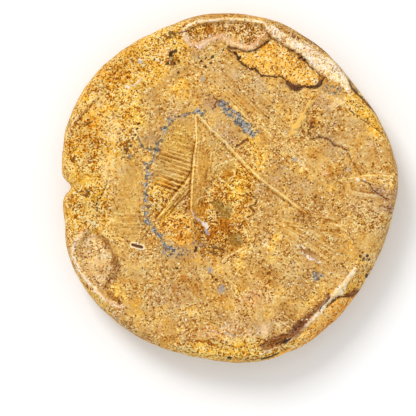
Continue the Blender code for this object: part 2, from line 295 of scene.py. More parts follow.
    # painted shadow along the foot of the zigzag step, in the bark tone
    "zigzagStep": ("bark", 0.15, -0.5, 0.6, 0.05, [(3.8, -1.5), (5.5, -2.5), (6.5, -3.4), (6.2, -4.2),
        (4.8, -4.7), (4.8, -5.1), (5.8, -6.1), (5.5, -6.9), (4.3, -7.3)]),
    "paleRidge": ("crest", 0.16, 0.3, 0.6, 0.1, [(3, -9.4), (4.6, -13.2), (5.7, -15.4)]),
    "tanArc": ("crest", 0.2, 0.2, 0.6, 0.1, [(3.1, -14.9), (1.1, -15.9), (-0.6, -16.9), (-2.1, -18.1)]),
    "ringLine": ("crest", 0.2, 0.2, 0.5, 0.2, [(-13, -7.4), (-11.2, -7), (-10, -8.2), (-9.8, -10.2),
        (-10.6, -11.8)]),
    "crustChainTop": ("crust", 0.18, -0.1, 0.4, 0.6, [(-7.5, 18.8), (-12.4, 17), (-14.8, 16.4),
        (-15.2, 14.6), (-16.2, 13.2), (-17.3, 11.2), (-18.1, 8.8)]),
    "crustChainSide": ("crustDark", 0.24, -0.1, 0.4, 0.5, [(-17.8, 9), (-19.7, 9.1), (-21.7, 10),
        (-22.4, 11.6), (-22.6, 13.4)]),
    "crustChainLow": ("crust", 0.26, -0.1, 0.4, 0.6, [(-18.2, 8.6), (-19, 6.3), (-20.8, 5.4), (-19.9, 3.2),
        (-20.9, 0.4), (-20.6, -2.4), (-20.8, -5.2), (-20.2, -8.4), (-18.2, -11), (-16.2, -14),
        (-13.4, -15.4)]),
    "crustBandLine": ("bark", 0.1, -0.2, 0.4, 0.2, [(-3.4, 21.3), (1.5, 18.4), (6.2, 14.7)]),
    "crustBand": ("crust", 1, -0.1, 1.1, 0.6, [(-1.9, 19.9), (0.3, 17.9), (2, 16.3), (3.6, 14.8),
        (4.6, 13.8)]),
    "crustBandEnd": ("crust", 0.4, -0.1, 0.6, 0.6, [(4.6, 13.6), (5, 12.4), (6.6, 13.4)]),
    "crustBandEdge": ("crustDark", 0.16, -0.1, 0.5, 0.5, [(-1.6, 18.8), (1.2, 16.2), (3.4, 13.4)]),
    "darkSlit": ("bark", 0.34, -0.35, 0.5, 0.5, [(1.5, 10), (2.8, 10.6), (4.1, 11.5)]),
    "darkSlitTail": ("bark", 0.08, -0.1, 0.3, 0.3, [(-0.2, 9.4), (1.5, 10)]),
    "shellShade": ("brown", 0.5, -0.1, 0.8, 0.3, [(10.9, 39.4), (14.6, 37.2), (18.3, 35.6), (21.4, 34),
        (23.4, 32.9)]),
    "paleRightLine": ("crest", 0.2, 0.15, 0.5, 0.1, [(32, 2.7), (36.1, 2.9), (39.6, 2.5)]),
    "fanLine": ("crest", 0.15, 0.1, 0.4, 0.1, [(26.4, 1.6), (30.4, 2.3), (34.2, 1.6), (39.4, 0.4)]),
    "footGroove": ("groove", 0.3, -0.4, 1.2, 0.3, [(-10.3, -37.3), (-5.4, -38), (-0.9, -39.7)]),
    "footBlack": ("slit", 0.25, -0.1, 0.5, 0.2, [(7.7, -42.1), (9.7, -41.6), (11.6, -40.7)]),
    "lowArc": ("groove", 0.18, -0.15, 0.5, 0.5, [(-5.2, -20.8), (-3.3, -23), (-0.5, -23.3)]),
    "streakTail": ("streak", 0.3, 0.3, 1, 0.5, [(19.3, 20.8), (17.9, 18.2)]),
    "streakBody": ("streak", 0.75, 0.4, 1.8, 0.8, [(17.6, 17.4), (16.6, 15.8), (15.6, 14.4)]),
    "streakFoot": ("streak", 0.6, 0.2, 1.2, 0.8, [(15.5, 14), (14.4, 12.8)]),
}

# Thin layers that step down to the right of the chain: where the first one runs, the step to the
# next, where each one ends against the plank, and how far its crest lies from its foot.
layers = {
    "start": (-18.1, 9.0),
    "step": (-0.15, -1.05),
    "slope": -0.27,
    "ends": [-9.2, -9.2, -9.3, -9.4, -9.5, -9.8, -10.6, -11.6, -12.6],
    "footIndent": 1.0,
    "crestIndent": (1.6, 0.6),
    "crestDrop": 0.4,
    "boldFrom": 6,
    "faint": 0.55,            # strength of the layers above the bold ones
}
for row, end in enumerate(layers["ends"]):
    x, y = (start + row * step for start, step in zip(layers["start"], layers["step"]))
    endY = y + layers["slope"] * (end - x)
    left, right = layers["crestIndent"]
    drop = layers["crestDrop"]
    bold = 1.0 if row >= layers["boldFrom"] else layers["faint"]
    # each layer's foot is darkened as painted shadow under its step, and its crest is brightened as painted
    # highlight
    lineMarks[f"layerFoot{row}"] = ("layer", 0.17 * bold, -0.4 * bold, 0.4, 0.25, [
        (x + layers["footIndent"], y), (end, endY)])
    lineMarks[f"layerCrest{row}"] = ("crest", 0.2 * bold, 0.35 * bold, 0.4, 0.2, [
        (x + left, y - drop), (end - right, endY - drop)])

# Short pores in a row across the cream shell.
pores = {"start": (22.7, 26.7), "step": (0.42, 0.31), "dash": (0.22, -0.5), "count": 9}
for row in range(pores["count"]):
    x, y = (start + row * step for start, step in zip(pores["start"], pores["step"]))
    dashX, dashY = pores["dash"]
    lineMarks[f"pore{row}"] = ("slit", 0.07, -0.05, 0.2, 0.0, [(x, y), (x + dashX, y + dashY)])

# Areas with an outline, in mm: finish, height, width of the slope at the edge, how far the edge
# wanders, and the outline.
patchMarks = {
    "creamShell": ("cream", 0.5, 0.8, 0.15, [(7.7, 40.4), (11.1, 39), (14.6, 36.5), (20, 33.8),
        (24.9, 31.1), (28.1, 27.7), (29.5, 25), (29.3, 22.1), (26.8, 25), (22.4, 27.2), (20.7, 28.4),
        (17.8, 31.8), (14.6, 33.8), (11.4, 36), (9.7, 37.2)]),
    "scallopRecess": ("brown", -0.9, 0.7, 0.2, [(-10, 39), (-7.5, 39.7), (-3.8, 40.1), (-0.1, 40.5),
        (4.8, 40.1), (8, 38.5), (7, 36.3), (4.8, 34.6), (2.3, 35), (-0.1, 36), (-2.6, 37), (-5, 36.5),
        (-7, 35.2), (-9.5, 35.8), (-10.6, 37.6)]),
    "sandPocket": ("orange", -1, 0.9, 0.3, [(-0.6, 33.9), (3.2, 33), (5.4, 33.2), (9.6, 36), (15.6, 32.6),
        (20, 28.8), (22.3, 26.8), (20.8, 24.1), (15.8, 23.6), (13, 26.6), (6.4, 27.9), (2.8, 30.1)]),
    "midPit": ("rust", -0.7, 1.2, 0.6, [(-3.8, 3.4), (0.2, 5), (4.6, 3.2), (6.4, -3.2), (4.8, -4.8),
        (5.8, -6.2), (4.2, -7.4), (3.4, -14.6), (-1, -17.2), (-6.4, -17.6), (-8.8, -12), (-8.6, -5.6)]),
    "facet": ("amber", 0, 0.4, 0.3, [(25.6, -27.4), (31, -26.5), (29.8, -29.2), (26.8, -33.1),
        (23.2, -36.8), (18.3, -39.9), (12.9, -41.9), (10.2, -41.7), (12.9, -40.2), (15.8, -38.2), (18, -35),
        (19.5, -33.6), (21.9, -30.6), (23.9, -28.2)]),
    "upperFacet": ("dusky", 0, 0.4, 0.4, [(29.9, -20.6), (34.7, -18.4), (35.6, -19.8), (33.7, -23.3),
        (31, -26.2), (26.8, -26.4), (26.2, -25.4)]),
    "lowerOrange": ("orange", -0.2, 0.8, 0.7, [(-18.6, -9), (-16.4, -7.6), (-12.4, -5.8), (-9.6, -8),
        (-9, -13.6), (-12.6, -14.4), (-15.6, -12.6)]),
    "leftBasin": ("sandy", -0.8, 1.6, 0.5, [(-34.8, -11.4), (-37, -15.8), (-35.6, -20.2), (-30.6, -26),
        (-28.2, -22), (-27.2, -19.4), (-28.6, -15.4), (-31.4, -12.6)]),
    "plank": ("plate", 0.5, 0.5, 0, [(-9.8, 2.2), (-13.1, -1.4), (-18, -7.8), (-15.2, -6.6), (-11.6, -2.8),
        (-9.7, -0.6)]),
    "starPlate": ("plate", 0.1, 0.3, 0.1, [(-8.3, 17.2), (-8.1, 11.2), (-9.2, -1), (-9.4, -5), (-6.6, -3),
        (-3.6, 3.4), (-3.6, 9.2), (0.2, 8.4), (-4.8, 13.6)]),
    "sidePlate": ("plate", 0, 0.3, 0.1, [(-3.4, 4.8), (0.8, 7.4), (1, 5.2), (0.4, 2.9), (-2.4, 1.2)]),
    "lowPlate": ("plate", 0.1, 0.3, 0.2, [(-1.4, -5.2), (4.2, -5.6), (4, -9.4), (-1.2, -8.8)]),
    "leftPlate": ("plate", 0, 0.4, 0.5, [(-23.6, 8.6), (-21.6, 6.2), (-21.9, 0.4), (-21.8, -5), (-21.2, -9),
        (-23.4, -13.2), (-29.6, -11.6), (-29.4, -4.6), (-26.6, 1.8)]),
    "stepPlate": ("plate", 0, 0.6, 0.4, [(-16.5, 13.5), (-13.5, 16), (-9.2, 15.8), (-8.8, 8), (-9.3, 2.6),
        (-13, -1.8), (-18.6, 1.4), (-18.6, 7), (-17.2, 10.5)]),
    "brownPlate": ("dusky", -0.1, 0.3, 0.3, [(-6.6, 17), (-0.6, 16.4), (3.4, 11.8), (-0.4, 9.4)]),
    "scaly": ("plate", 0.1, 0.5, 0.4, [(-22.6, 13.4), (-19.8, 14.8), (-17.4, 12.6), (-17.6, 9.4),
        (-20.6, 9.2), (-22.6, 10.8)]),
}

# Round marks, in mm: finish, height, then the middle and radius of each spot.
spotMarks = {
    "blackSpots": ("slit", -0.15, [(-21.8, 17.3, 0.4), (-22.5, 15.4, 0.4), (-22.7, 14.2, 0.4),
        (-23.9, 12, 0.35), (-24.3, 10.1, 0.45), (-25.4, 8.4, 0.4), (-25, 9.3, 0.35), (-24.9, 11, 0.3),
        (-23.3, 12.7, 0.3), (-25.9, 7.2, 0.3), (-11.6, -15.4, 0.22), (-12.8, -16.6, 0.22),
        (-14.2, -15.9, 0.2), (-10.4, -16.5, 0.25), (-15.3, -17, 0.2), (-11.2, -17.6, 0.2),
        (-9.2, -17.2, 0.2), (-34.9, 2.9, 0.3), (-31.7, 9.8, 0.2), (-12.7, 17.2, 0.35), (-14.4, 32.7, 0.5),
        (-13.4, 33.2, 0.45), (-14.8, 32, 0.4), (-15.4, 30.1, 0.5), (-13.6, 30, 0.45), (-12.6, 30.7, 0.4),
        (-16.5, 30.9, 0.38), (-18.6, 31.1, 0.38), (-7.8, 31.6, 0.38), (-7.2, 30.6, 0.38),
        (-6.1, 31.4, 0.42), (-6, 29.3, 0.4), (-4.9, 30.3, 0.36), (-4.4, 31.7, 0.4), (-11.2, 28.8, 0.36),
        (-12.8, 27.9, 0.4), (-3.8, 3.4, 0.2), (-12.4, 8.8, 0.15), (20.7, -2.5, 0.42), (-8.5, -14.9, 0.5),
        (-8.6, -15.7, 0.4), (-4.3, -14.5, 0.3), (-3.8, -11.3, 0.25), (-13.1, -19.8, 0.35),
        (13.4, -37.7, 0.6), (-0.3, -41.9, 0.5), (-20.8, 26.9, 0.25), (16.6, 32.4, 0.35), (17.3, 31.6, 0.4),
        (18.1, 31, 0.35), (15.2, 33.2, 0.25), (31.7, -17, 0.42), (32.4, -17.7, 0.4), (33.3, -16.7, 0.48),
        (33.8, -17.7, 0.4), (32.2, -16.1, 0.32), (31.2, -18, 0.25), (33.4, -21.8, 0.6), (-4.4, -22, 0.3),
        (-3.6, -22.7, 0.25)]),
    "brownPits": ("bark", -0.2, [(19.7, 15.7, 0.4), (20.4, 14.7, 0.4), (19, 14, 0.35), (21.4, 15.6, 0.3),
        (18.6, 12.8, 0.3), (22.4, 17.6, 0.3), (12.9, -0.8, 0.3), (8.4, -20.2, 0.3), (9, -21, 0.35),
        (10, -19.6, 0.25), (1.4, -19, 0.25)]),
    "ridgeCrumbs": ("lip", 0.2, [(27.5, -24.3, 0.9), (26.4, -25.5, 1.1), (25, -26.7, 0.9),
        (23.7, -28.1, 0.7)]),
    "crackBlots": ("stain", -0.2, [(28.2, -26.6, 0.7), (29.6, -26.2, 0.9), (31, -25.7, 0.8),
        (26.4, -27.1, 0.5), (25, -27.6, 0.4)]),
    "whiteSpots": ("chalk", 0.1, [(-25.3, 24.5, 0.42), (-24.7, 24.2, 0.3), (-6.2, -9.2, 0.6),
        (-5.7, -9.8, 0.5), (31.1, 1.9, 0.5), (32.6, 1.6, 0.4), (32.9, -17.3, 0.3), (-10.9, -32.4, 0.35),
        (33, -16.5, 0.3), (-22, 30.9, 0.5), (-17.6, 30.8, 0.35), (-16.9, 30.3, 0.3), (-18.2, 31.2, 0.25)]),
    "lilacSpots": ("lilac", 0.1, [(-5.9, -10.6, 0.45), (-5.4, -11.6, 0.35), (-22.2, 30.4, 0.4),
        (20.1, -17.6, 0.4)]),
    "emberSpots": ("ember", -0.05, [(17, -5.4, 0.7), (18.6, -6.6, 0.8), (19.6, -7.6, 0.6),
        (10.9, -7.7, 0.7), (9.7, 12.7, 0.7), (14.1, 13.2, 0.8), (15.3, 11.4, 0.5), (8, -16.8, 0.5),
        (-11.6, -22.2, 1.1), (-9, -23.6, 0.9), (-13.8, -24.8, 0.9), (-16.2, -10.4, 0.8), (3.3, -6.6, 0.5),
        (-3.2, -1.6, 0.6), (12.4, -0.6, 0.5), (-9.2, -14, 0.5), (23, 2.9, 0.7)]),
    "pinkSpots": ("pink", 0.1, [(23, 3.4, 0.7)]),
    "greySpots": ("crust", 0, [(-8, 18.6, 0.8), (-6.8, 18.2, 0.7), (-14.8, 16.2, 0.4), (-16.2, 13.9, 0.6),
        (-15.6, 13.3, 0.5), (-17.3, 11, 0.35), (-18.1, 8.8, 0.45), (-20.6, 5.6, 0.5), (-19.8, 3.3, 0.4),
        (-20.9, 0.5, 0.6), (-20.8, -2.2, 0.45), (-20.9, -5, 0.6), (-20.3, -6.4, 0.4), (-20.4, -8.3, 0.55),
        (-18.6, -10.6, 0.7), (-17.4, -11.8, 0.7), (-16, -14, 0.7), (-14.6, -14.8, 0.5), (6.9, 13.8, 0.4),
        (-24.6, 7.5, 0.4), (-23.8, 12, 0.4), (20.7, -22.4, 0.6), (21.8, -21.5, 0.55), (20.4, -21.2, 0.35),
        (22.6, -21.8, 0.3)]),
    "ashSpots": ("ash", 0, [(-6.7, 26.2, 0.5), (-5, -20.3, 0.75), (-2.2, -24.8, 0.95), (0.6, -9.1, 0.4),
        (15.6, 6.6, 0.6), (17, 6, 0.4), (28.9, 4.5, 0.4), (16.7, -22.2, 0.4), (-0.7, -33.6, 0.5),
        (-22.2, 30.6, 0.5), (-5.8, -11.1, 0.4), (17.6, -24, 0.3), (13, 4.6, 0.4), (-2, -31, 0.3)]),
    "rustSpots": ("rust", -0.1, [(-3.8, -16.6, 2.2), (20.6, 18, 1)]),
    "oliveSpot": ("olive", -0.2, [(1.3, -12.9, 2), (0.4, -12.6, 1.6), (-1.2, -6, 2), (-3, -4.6, 1.6)]),
}

# Areas with a look of their own, as ovals: middle, half length, half width, and the turn in degrees
# where there is one.
zones = {
    "grit": [(-17.4, -3, 2.6, 4.6), (1.6, 0.4, 5.4, 3.8, 60), (-34.4, 10, 27, 11, 75),
        (-22, 31, 15, 6.6, 35), (2, -41, 22, 4), (27, -30, 9, 3.5, 50), (-36.5, -27, 12, 4, -50),
        (31.4, 20.2, 4.4, 2.6, -50)],
    "smooth": [(-12.6, -10.4, 2.6, 2.2), (-25.2, -1.5, 11, 4.6, 84), (-9.5, 22.5, 4, 3), (24, 6, 6, 4, -40),
        (12, -9, 8, 3, -15)],
    "yellow": [(-22.4, 16, 2.2, 4), (35.4, 14.6, 6, 2, -57), (-8, 38.6, 2.8, 1.4), (0, -40.6, 12, 1.3),
        (-16.8, 0, 3, 2.4), (-12.2, 24.8, 4.4, 2, 20), (2.2, -19.8, 1.3, 3.2), (9, -31, 1.8, 1.6),
        (-27.5, -25, 3, 2.4), (10, -15, 1.6, 4, -20), (1.8, 0.2, 5, 3.6, 60), (-12.4, 12, 4.5, 4),
        (7.2, 8, 2.6, 5), (2.6, -25.2, 2.4, 1.8), (-14.5, -6.5, 4, 3, 30)],
    "whitish": [(34.4, -18.2, 1.8, 1.1, 60), (-22.6, 13, 3, 2.4), (-28.6, 14.2, 5.8, 2.6, 84),
        (-30, 4.4, 5.2, 2.6, 100), (-33, 20.5, 3, 2, 60), (-16, 33, 2.4, 1.4), (25, 20, 1.6, 1.2),
        (16.8, 7.4, 5.5, 1.4, -50), (-37.6, -27, 6, 1.2, -50), (-36.6, -13, 1.6, 3, 20), (8, -35, 1.8, 2),
        (25.6, 21.4, 3.4, 1.2, -30)],
    "deep": [(-34.5, 13, 6.5, 4.5, 80), (24.4, -33.8, 12, 2.3, 47), (0, 42.4, 14, 1.9),
        (17.4, 38.2, 11, 1.7, -32), (-11.4, -12.4, 2.6, 2.2), (-6.6, 3, 7.5, 2, 87), (-2.6, -27.7, 2.4, 2),
        (-28.5, 27.5, 7, 3.4, 35), (-6, 38, 5, 2), (20, 16, 3.4, 1.4, 95), (-15.2, 0.4, 3, 2, -30),
        (-3.5, -11.5, 6, 4.5), (18.2, -6.2, 2, 1.1, -35), (19.8, 8.2, 2.4, 1.8), (-12.4, -9.7, 2, 1.7),
        (-3, -3, 3, 2.6), (-8.7, -23.7, 1.4, 2.6), (31, 4.2, 2, 1.6, -40), (24.6, 3.6, 3, 1.8),
        (-1, -43.4, 16, 0.9), (8.8, -22.4, 2.8, 3.6), (-9.8, -8.6, 2.4, 3), (-3.4, -15.4, 4.4, 2.8, -12),
        (-12, -22.5, 2, 1.4)],
    "dusky": [(0, 25.5, 6, 4, -35), (-25, -3, 8, 5, 80), (0, -33, 10, 4), (28, 12, 8, 7, -40),
        (6, -34, 12, 4), (10, 24, 8, 4, -30), (-14, -26, 8, 5), (14, 1, 6, 4, -30), (32, -4, 8, 5)],
    "purple": [(-19.8, 12, 2.8, 2.4), (-5, 20.8, 3.6, 2.6), (22.6, 20.6, 3.4, 2, -40),
        (19.4, -16.6, 3.4, 1.2, -35), (15.6, 24.6, 2.4, 1.1, -20), (36.6, -1.4, 3.4, 1.8, -30),
        (39.6, -1.4, 2.4, 1.6, -10), (38.5, -5.2, 3, 1.4, -10), (17, -33.4, 4, 1.6, 40)],
    "rosy": [(7.9, -35, 1.8, 1.6), (-3, -35.6, 9, 2.2), (-27.8, -31, 3, 1.6, 45), (5.5, -27, 5, 3, 30),
        (-16.5, 32.6, 2, 1.4)],
    "hushed": [(-19.5, 26.5, 9, 6, 35), (11, 30, 14, 6, -30), (22.6, 7, 6.5, 4.6, -50),
        (31.4, 14.4, 4.6, 2.6, -45), (-8, 23.5, 6, 3, 10), (-25.2, -1.5, 12, 5, 84), (-13.6, 7.6, 6, 7),
        (-6.5, 4, 11, 3, 87), (29.5, -14, 5, 3), (12, -5.5, 8, 4.6, -35), (23, -9.4, 8, 3.4, -12),
        (4.5, -20.5, 6, 4), (35.6, 14.4, 6, 2.4, -57)],
    "crumbly": [(-19.8, 11.8, 2.8, 2.4), (1, -1, 7, 5, 60), (-3, -11.5, 7.5, 4.5, 10), (33, -8, 5, 4, -60)],
    "soot": [(-3.4, -15.6, 3.4, 1.9, -12), (8.8, -20.8, 1.4, 1.2), (-14.5, 32.3, 1.9, 1.3, -20),
        (-13.9, 30.3, 2, 1.3), (-14.8, 37, 3.2, 1.3, 30), (20, 15, 1.6, 1.2), (-25.4, 9.4, 2.6, 1, 55),
        (-35.4, -1.5, 1.9, 1.7), (-38.5, 7.2, 0.9, 1.5)],
    "greyMottle": [(-13.2, -16, 4.6, 2, -8), (-8, -13.9, 2.4, 0.8, -10), (25, 23.6, 3.4, 1.6, -25),
        (30.4, 23.6, 1.4, 0.8, -45)],
}

# Fine parallel scratches: direction, width and length of a scratch, how strong, and the ovals.
scratches = {
    "slantScratch": (-43, 0.24, 10, 1.5, [(4, 22, 12, 6.5, -45), (14, 9.5, 9, 4, -45)]),
    "uprightScratch": (84, 0.4, 7, 1.3, [(-6.5, 4, 11, 3, 87)]),
    "stepScratch": (-15, 0.5, 9, 1.6, [(-13, 6.4, 6.5, 6, 10)]),
    "lowStepScratch": (-25, 0.7, 6, 1.4, [(-16, -1, 4.5, 4.5)]),
    "plankScratch": (52, 0.4, 8, 1.8, [(-13.5, -3, 7, 2.2, 50)]),
    "levelScratch": (-2, 0.4, 8, 1.3, [(-25.5, -9.5, 8, 4)]),
    "plateScratch": (-66, 0.4, 6, 0.9, [(-24.5, 2.5, 7, 4, 80)]),
    "shellScratch": (72, 0.35, 4, 1.2, [(14, 35.6, 7, 2.6, -35)]),
    "scallopScratch": (78, 0.35, 3, 1.4, [(-1, 38, 9, 2.4)]),
    "fanScratch": (-9, 0.45, 8, 2, [(35.5, -0.5, 6, 4), (21, -9, 9, 3, -8)]),
    "fanLowScratch": (-33, 0.4, 7, 1.5, [(19, -13.6, 8, 4, -33)]),
    "facetScratch": (48, 0.5, 8, 0.7, [(24.5, -32.5, 9, 2.4, 48)]),
    "footScratch": (-30, 0.4, 4, 2.6, [(13.4, -32.8, 3, 2)]),
    "lowScratch": (-62, 0.4, 6, 0.8, [(0, -28, 14, 8), (-12, -24, 8, 6)]),
}


def around(table, degrees):
    # a smooth closed curve through (direction, value) pairs
    knots = np.array([pair[0] for pair in table], float)
    values = np.array([pair[1] for pair in table], float)
    knots = np.concatenate([knots[-2:] - 360.0, knots, knots[:3] + 360.0])
    values = np.concatenate([values[-2:], values, values[:3]])
    slopes = np.gradient(values, knots)
    turn = np.mod(degrees, 360.0)
    left = np.clip(np.searchsorted(knots, turn, side="right") - 1, 0, len(knots) - 2)
    gap = knots[left + 1] - knots[left]
    t = (turn - knots[left]) / gap
    return ((1 + 2 * t) * (1 - t) ** 2 * values[left] + t * (1 - t) ** 2 * gap * slopes[left]
            + t * t * (3 - 2 * t) * values[left + 1] + t * t * (t - 1) * gap * slopes[left + 1])


def rimReach(degrees, notchShare):
    direction, spread, depth = disc["notch"]
    off = (degrees - direction + 180.0) % 360.0 - 180.0
    return around(disc["outline"], degrees) - notchShare * depth * np.exp(-(off / spread) ** 2)


def lineDistance(route, x, y):
    nearest = np.full(x.shape, np.inf)
    for (ax, ay), (bx, by) in zip(route, route[1:]):
        dx, dy = bx - ax, by - ay
        along = np.clip(((x - ax) * dx + (y - ay) * dy) / (dx * dx + dy * dy), 0.0, 1.0)
        nearest = np.minimum(nearest, np.hypot(x - ax - along * dx, y - ay - along * dy))
    return nearest


def depthInside(outline, x, y):
    # above zero inside the outline, below zero outside
    inside = np.zeros(x.shape, bool)
    for (ax, ay), (bx, by) in zip(outline, outline[1:] + outline[:1]):
        if ay != by:
            crosses = (ay > y) != (by > y)
            inside ^= crosses & (x < ax + (y - ay) * (bx - ax) / (by - ay))
    away = lineDistance(outline + outline[:1], x, y)
    return np.where(inside, away, -away)


def ease(t):
    t = np.clip(t, 0.0, 1.0)
    return t * t * (3.0 - 2.0 * t)


def swell(amount, length, x, y, z, layer=0.0):
    where = zip(x / length, y / length, z / length + layer)
    return amount * np.array([noise.noise(Vector(point)) for point in where])


def section(u, v, level):
    # where a point of the flat tile goes on the plain disc, and which way it faces there
    ring = np.maximum(np.abs(u), np.abs(v))
    eighth = math.pi / 4
    wide = np.abs(u) >= np.abs(v)
    safeU = np.where(wide & (ring > 0), u, 1.0)
    safeV = np.where(~wide, v, 1.0)
    turn = np.where(wide, eighth * v / safeU + np.where(u < 0, math.pi, 0.0),
                    math.pi / 2 - eighth * u / safeV + np.where(v < 0, math.pi, 0.0))
    degrees = np.degrees(turn)
    rows = disc["wallRows"]
    flatShare, topSweep = disc["flatShare"], disc["topSweep"]
    onTop = level == 0
    onFloor = level > rows
    wrap = np.clip((ring - flatShare) / (1 - flatShare), 0, 1) * topSweep
    sweep = np.where(onTop, wrap, topSweep + (2 - topSweep) * np.clip(level / rows, 0, 1))
    over = np.clip(sweep, 0, 1) * math.pi / 2
    under = np.clip(sweep - 1, 0, 1) * math.pi / 2
    reach = rimReach(degrees, np.cos(under))
    upper = around(disc["upperShoulder"], degrees)
    radius = reach - upper * (1 - np.sin(over)) - disc["lowerShoulder"] * (1 - np.cos(under))
    radius *= np.where(onTop, np.clip(ring / flatShare, 0, 1),
                       np.where(onFloor, ring * disc["floorShare"], 1.0))
    waist = disc["waistHeight"]
    crown = disc["thickness"] - disc["plateauDrop"] * (radius / reach) ** 2
    height = np.where(sweep <= 1, waist + (crown - waist) * np.cos(over), waist * (1 - np.sin(under)))
    faceUp = np.where(sweep <= 1, np.cos(over), 0.0)
    faceOut = np.where(onFloor, 0.0, np.cos(under) * np.sin(over))
    return radius * np.cos(turn), radius * np.sin(turn), height, turn, faceUp, faceOut


def cutTile():
    # a fine square, walls down its four sides and a coarser square underneath, all one closed skin
    tile = bmesh.new()
    cells = disc["topCells"]
    bmesh.ops.create_grid(tile, x_segments=cells, y_segments=cells, size=1.0)
    refineMarks(tile)
    rim = [edge for edge in tile.edges if edge.is_boundary]
    for row in range(disc["wallRows"]):
        grown = bmesh.ops.extrude_edge_only(tile, edges=rim)["geom"]
        lower = [part for part in grown if isinstance(part, bmesh.types.BMVert)]
        bmesh.ops.translate(tile, verts=lower, vec=(0, 0, -1))
        rim = [part for part in grown if isinstance(part, bmesh.types.BMEdge) and part.is_boundary]
    old = set(tile.edges)
    cells = disc["underCells"]
    bmesh.ops.create_grid(tile, x_segments=cells, y_segments=cells, size=1.0,
                          matrix=Matrix.Translation((0, 0, -disc["wallRows"] - 1)))
    floorRim = [edge for edge in tile.edges if edge.is_boundary and edge not in old]
    bmesh.ops.bridge_loops(tile, edges=rim + floorRim)
    bmesh.ops.recalc_face_normals(tile, faces=tile.faces)
    return tile


def refineMarks(tile):
    # squares near a thin mark are cut in four, so that its edges stay sharp
    tile.verts.ensure_lookup_table()
    flat = np.array([vert.co[:] for vert in tile.verts])
    x, y, *rest = section(flat[:, 0], flat[:, 1], np.zeros(len(flat)))
    near = np.full(x.shape, np.inf)
    for finish, half, height, width, wander, route in lineMarks.values():
        near = np.minimum(near, lineDistance(route, x, y) - half - wander)
    close = near < disc["fineReach"]
    chosen = [edge for edge in tile.edges
              if not edge.is_boundary and all(close[vert.index] for vert in edge.verts)]
    bmesh.ops.subdivide_edges(tile, edges=chosen, cuts=1, use_grid_fill=True)


def markSurface(x, y):
    # how far each point lies inside each finish, and the height of all the marks
    wanderX, wanderY = (swell(1.0, disc["wanderLength"], x, y, np.zeros(x.shape), layer)
                        for layer in (10.0, 20.0))
    finishes = {}
    height = np.zeros(x.shape)

    def cover(finish, depth):
        finishes[finish] = np.maximum(finishes.get(finish, farOutside), depth)

    for finish, half, rise, width, wander, route in lineMarks.values():
        away = lineDistance(route, x + wander * wanderX, y + wander * wanderY)
        cover(finish, half - away)
        height += rise * ease(1.0 - away / width)
    for finish, rise, slope, wander, outline in patchMarks.values():
        depth = depthInside(outline, x + wander * wanderX, y + wander * wanderY)
        cover(finish, depth)
        height += rise * ease(depth / slope + 0.5)
    wander = disc["spotWander"]
    for finish, rise, spots in spotMarks.values():
        for middleX, middleY, radius in spots:
            away = np.hypot(x + wander * wanderX - middleX, y + wander * wanderY - middleY)
            cover(finish, radius - away)
            height += rise * ease(1.3 - away / radius)
    scratched = {name: values[-1] for name, values in scratches.items()}
    for zone, ovals in {**zones, **scratched}.items():
        for middleX, middleY, length, width, *turn in ovals:
            spin = math.radians(sum(turn))
            dx, dy = x - middleX, y - middleY
            along = (dx * math.cos(spin) + dy * math.sin(spin)) / length
            across = (dy * math.cos(spin) - dx * math.sin(spin)) / width
            cover(zone, 1.0 - np.hypot(along, across))
    return finishes, height


def petalOutline(turn):
    # one petal of the star as a closed route, pointing in the given direction
    start, end = star["reach"]
    share = np.linspace(0.0, 1.0, star["steps"])
    along = start + (end - start) * share
    half = star["halfWidth"] * np.sin(np.pi * share ** 1.3) ** 0.8
    along = np.concatenate([along, along[::-1]])
    half = np.concatenate([half, -half[::-1]])
    x = along * math.cos(turn) - half * math.sin(turn)
    y = along * math.sin(turn) + half * math.cos(turn)
    return list(zip(x, y))


def starDistance(x, y):
    nearest = np.full(x.shape, np.inf)
    for petal in range(star["petals"]):
        turn = math.radians(90.0 + 360.0 * petal / star["petals"])
        nearest = np.minimum(nearest, lineDistance(petalOutline(turn), x, y))
    return nearest


def makeDisc():
    tile = cutTile()
    mesh = bpy.data.meshes.new("sand_dollar")
    tile.to_mesh(mesh)
    tile.free()
    count = len(mesh.vertices)
    flat = np.empty(count * 3)
    mesh.vertices.foreach_get("co", flat)
    flat = flat.reshape(-1, 3)
    x, y, z, turn, faceUp, faceOut = section(flat[:, 0], flat[:, 1], -flat[:, 2])
    swells = swell(*disc["broadSwell"], x, y, z)
    rimSwells = swells + swell(*disc["rimLumps"], x, y, z)
    x += faceOut * rimSwells * np.cos(turn)
    y += faceOut * rimSwells * np.sin(turn)
    finishes, relief = markSurface(x, y)
    lumpy = ease((disc["lumpyLeftEdge"] - x) / disc["lumpyFade"])
    relief += lumpy * swell(*disc["lumps"], x, y, np.zeros(count), layer=40.0)
    z += faceUp * (relief + swells)
    onFloor = -flat[:, 2] > disc["wallRows"]
    away = starDistance(x, y)
    halfWidth, depth = star["groove"]
    z += np.where(onFloor, depth * ease(1.0 - away / halfWidth), 0.0)
    middle = disc["boxMiddle"]
    placed = np.column_stack([x - middle[0], y - middle[1], z]) * mm
    mesh.vertices.foreach_set("co", placed.ravel())
    finishes = {finish: np.where(faceUp > 0, depth, farOutside) for finish, depth in finishes.items()}
    finishes["top"] = faceUp
    finishes["wall"] = faceOut
    finishes["petal"] = np.where(onFloor, star["line"] - away, farOutside)
    for finish, kept in finishes.items():
        layer = mesh.attributes.new(finish, "FLOAT", "POINT")
        layer.data.foreach_set("value", kept.astype(np.float32))
    mesh.update()
    mesh.shade_smooth()
    return mesh


# Grain of the stone, moved into the mesh, in mm.
grain = {
    "Grain Size": 0.55,
    "Grain Height": 0.10,
    "Pit Size": 1.7,
    "Pit Depth": 0.28,
    "Plain Share": 0.28,      # how much of it the smooth ground has
    "Seed": 4.0,
}


